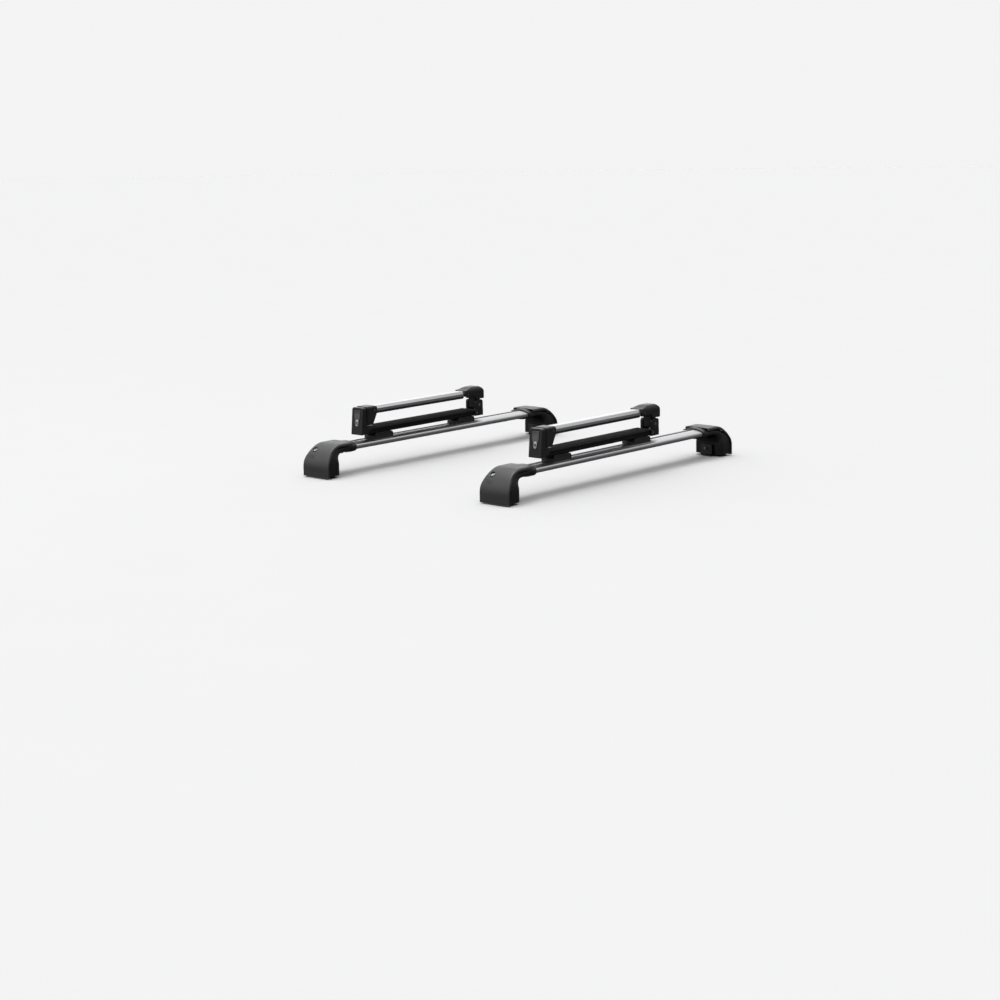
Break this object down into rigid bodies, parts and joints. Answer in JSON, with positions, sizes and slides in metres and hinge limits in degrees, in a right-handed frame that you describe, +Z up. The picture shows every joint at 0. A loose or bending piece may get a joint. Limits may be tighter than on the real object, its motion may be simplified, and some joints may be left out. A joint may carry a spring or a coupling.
{
  "type": "roof ski rack",
  "caption": "Roof rack of two oval load bars on locking feet, each bar carrying a hinged two-arm clamp that holds skis or snowboards flat between ribbed rubber pads.",
  "frame": {"origin": "on the roof plane under the four soles, midway between the two bars and midway along them", "axes": "+X the way the car drives and the skis point, +Y along the load bars towards the clamps' hinges, +Z up"},
  "size_m": [0.865, 1.144, 0.2146],
  "materials": {
    "bar_aluminium": "extruded, satin anodised",
    "arm_aluminium": "extruded, brushed and anodised",
    "dark_aluminium": "extruded, black anodised",
    "strip_rubber": "extruded rubber",
    "pad_rubber": "soft ribbed rubber",
    "black_plastic": "moulded, fine grain",
    "black_nylon": "glass-filled nylon, matt",
    "grey_cover": "charcoal moulded plastic, fine grain",
    "button_plastic": "moulded, satin",
    "black_steel": "black coated steel",
    "zinc_steel": "zinc plated",
    "lock_metal": "plated, polished"
  },
  "bodies": {
    "base": {"front_bar": "bar_aluminium", "rear_bar": "bar_aluminium", "slot_strips": "strip_rubber", "cover_hinge_pins": "zinc_steel", "foot_screws": "zinc_steel", "mount_shoes": "black_plastic", "slot_bolts": "zinc_steel", "hinge_pins": "zinc_steel", "lower_arm_screws": "zinc_steel", "front_near_foot_body": "black_nylon", "front_near_foot_pad": "pad_rubber", "rear_near_foot_body": "black_nylon", "rear_near_foot_pad": "pad_rubber", "front_far_foot_body": "black_nylon", "front_far_foot_pad": "pad_rubber", "rear_far_foot_body": "black_nylon", "rear_far_foot_pad": "pad_rubber", "front_lower_arm": "dark_aluminium", "front_lower_pad": "pad_rubber", "front_hinge_base": "black_plastic", "front_lock_housing": "black_plastic", "front_button_spring": "zinc_steel", "rear_lower_arm": "dark_aluminium", "rear_lower_pad": "pad_rubber", "rear_hinge_base": "black_plastic", "rear_lock_housing": "black_plastic", "rear_button_spring": "zinc_steel"},
    "front_near_cover": {"front_near_foot_cover": "grey_cover"},
    "front_near_lock": {"front_near_foot_lock": "lock_metal"},
    "front_near_bolt": {"front_near_foot_bolt": "zinc_steel"},
    "front_near_claw": {"front_near_foot_claw": "black_steel"},
    "rear_near_cover": {"rear_near_foot_cover": "grey_cover"},
    "rear_near_lock": {"rear_near_foot_lock": "lock_metal"},
    "rear_near_bolt": {"rear_near_foot_bolt": "zinc_steel"},
    "rear_near_claw": {"rear_near_foot_claw": "black_steel"},
    "front_far_cover": {"front_far_foot_cover": "grey_cover"},
    "front_far_lock": {"front_far_foot_lock": "lock_metal"},
    "front_far_bolt": {"front_far_foot_bolt": "zinc_steel"},
    "front_far_claw": {"front_far_foot_claw": "black_steel"},
    "rear_far_cover": {"rear_far_foot_cover": "grey_cover"},
    "rear_far_lock": {"rear_far_foot_lock": "lock_metal"},
    "rear_far_bolt": {"rear_far_foot_bolt": "zinc_steel"},
    "rear_far_claw": {"rear_far_foot_claw": "black_steel"},
    "front_arm": {"front_upper_arm": "arm_aluminium", "front_upper_pad": "pad_rubber", "front_hinge_head": "black_plastic", "front_latch_head": "black_plastic", "front_upper_arm_screws": "zinc_steel"},
    "front_button": {"front_push_button": "button_plastic", "front_latch_bolt": "zinc_steel"},
    "front_core": {"front_lock_cylinder": "lock_metal"},
    "rear_arm": {"rear_upper_arm": "arm_aluminium", "rear_upper_pad": "pad_rubber", "rear_hinge_head": "black_plastic", "rear_latch_head": "black_plastic", "rear_upper_arm_screws": "zinc_steel"},
    "rear_button": {"rear_push_button": "button_plastic", "rear_latch_bolt": "zinc_steel"},
    "rear_core": {"rear_lock_cylinder": "lock_metal"}
  },
  "joints": [
    {"name": "front_near_cover_tip", "type": "hinge", "parent": "base", "child": "front_near_cover", "pos_m": [0.375, -0.566, 0.005], "axis": [1, 0, 0], "range_deg": [0, 35]},
    {"name": "front_near_lock_turn", "type": "hinge", "parent": "front_near_cover", "child": "front_near_lock", "pos_m": [0.349, -0.54521, 0.08745], "axis": [0, -0.6428, 0.766], "range_deg": [0, 90]},
    {"name": "front_near_bolt_turn", "type": "hinge", "parent": "base", "child": "front_near_bolt", "pos_m": [0.375, -0.55, 0.028], "axis": [0, -1, 0], "range_deg": [-1440, 0]},
    {"name": "front_near_claw_slide", "type": "slide", "parent": "base", "child": "front_near_claw", "axis": [0, -1, 0], "range_m": [0, 0.005]},
    {"name": "rear_near_cover_tip", "type": "hinge", "parent": "base", "child": "rear_near_cover", "pos_m": [-0.375, -0.566, 0.005], "axis": [1, 0, 0], "range_deg": [0, 35]},
    {"name": "rear_near_lock_turn", "type": "hinge", "parent": "rear_near_cover", "child": "rear_near_lock", "pos_m": [-0.401, -0.54521, 0.08745], "axis": [0, -0.6428, 0.766], "range_deg": [0, 90]},
    {"name": "rear_near_bolt_turn", "type": "hinge", "parent": "base", "child": "rear_near_bolt", "pos_m": [-0.375, -0.55, 0.028], "axis": [0, -1, 0], "range_deg": [-1440, 0]},
    {"name": "rear_near_claw_slide", "type": "slide", "parent": "base", "child": "rear_near_claw", "axis": [0, -1, 0], "range_m": [0, 0.005]},
    {"name": "front_far_cover_tip", "type": "hinge", "parent": "base", "child": "front_far_cover", "pos_m": [0.375, 0.566, 0.005], "axis": [-1, 0, 0], "range_deg": [0, 35]},
    {"name": "front_far_lock_turn", "type": "hinge", "parent": "front_far_cover", "child": "front_far_lock", "pos_m": [0.401, 0.54521, 0.08745], "axis": [0, 0.6428, 0.766], "range_deg": [0, 90]},
    {"name": "front_far_bolt_turn", "type": "hinge", "parent": "base", "child": "front_far_bolt", "pos_m": [0.375, 0.55, 0.028], "axis": [0, 1, 0], "range_deg": [-1440, 0]},
    {"name": "front_far_claw_slide", "type": "slide", "parent": "base", "child": "front_far_claw", "axis": [0, 1, 0], "range_m": [0, 0.005]},
    {"name": "rear_far_cover_tip", "type": "hinge", "parent": "base", "child": "rear_far_cover", "pos_m": [-0.375, 0.566, 0.005], "axis": [-1, 0, 0], "range_deg": [0, 35]},
    {"name": "rear_far_lock_turn", "type": "hinge", "parent": "rear_far_cover", "child": "rear_far_lock", "pos_m": [-0.349, 0.54521, 0.08745], "axis": [0, 0.6428, 0.766], "range_deg": [0, 90]},
    {"name": "rear_far_bolt_turn", "type": "hinge", "parent": "base", "child": "rear_far_bolt", "pos_m": [-0.375, 0.55, 0.028], "axis": [0, 1, 0], "range_deg": [-1440, 0]},
    {"name": "rear_far_claw_slide", "type": "slide", "parent": "base", "child": "rear_far_claw", "axis": [0, 1, 0], "range_m": [0, 0.005]},
    {"name": "front_arm_swing", "type": "hinge", "parent": "base", "child": "front_arm", "pos_m": [0.375, 0.188, 0.15], "axis": [-1, 0, 0], "range_deg": [0, 75]},
    {"name": "front_button_push", "type": "slide", "parent": "base", "child": "front_button", "axis": [0, 1, 0], "range_m": [0, 0.004], "stiffness_N_per_m": 600, "springref_m": -0.003, "deforming": ["front_button_spring"]},
    {"name": "front_core_turn", "type": "hinge", "parent": "front_button", "child": "front_core", "pos_m": [0.375, -0.38, 0.154], "axis": [0, -1, 0], "range_deg": [0, 90]},
    {"name": "rear_arm_swing", "type": "hinge", "parent": "base", "child": "rear_arm", "pos_m": [-0.375, 0.188, 0.15], "axis": [-1, 0, 0], "range_deg": [0, 75]},
    {"name": "rear_button_push", "type": "slide", "parent": "base", "child": "rear_button", "axis": [0, 1, 0], "range_m": [0, 0.004], "stiffness_N_per_m": 600, "springref_m": -0.003, "deforming": ["rear_button_spring"]},
    {"name": "rear_core_turn", "type": "hinge", "parent": "rear_button", "child": "rear_core", "pos_m": [-0.375, -0.38, 0.154], "axis": [0, -1, 0], "range_deg": [0, 90]}
  ],
  "couplings": [
    {"joint": "front_near_bolt_turn", "follows": "front_near_claw_slide", "rad_per_m": -5026.5},
    {"joint": "rear_near_bolt_turn", "follows": "rear_near_claw_slide", "rad_per_m": -5026.5},
    {"joint": "front_far_bolt_turn", "follows": "front_far_claw_slide", "rad_per_m": -5026.5},
    {"joint": "rear_far_bolt_turn", "follows": "rear_far_claw_slide", "rad_per_m": -5026.5}
  ]
}
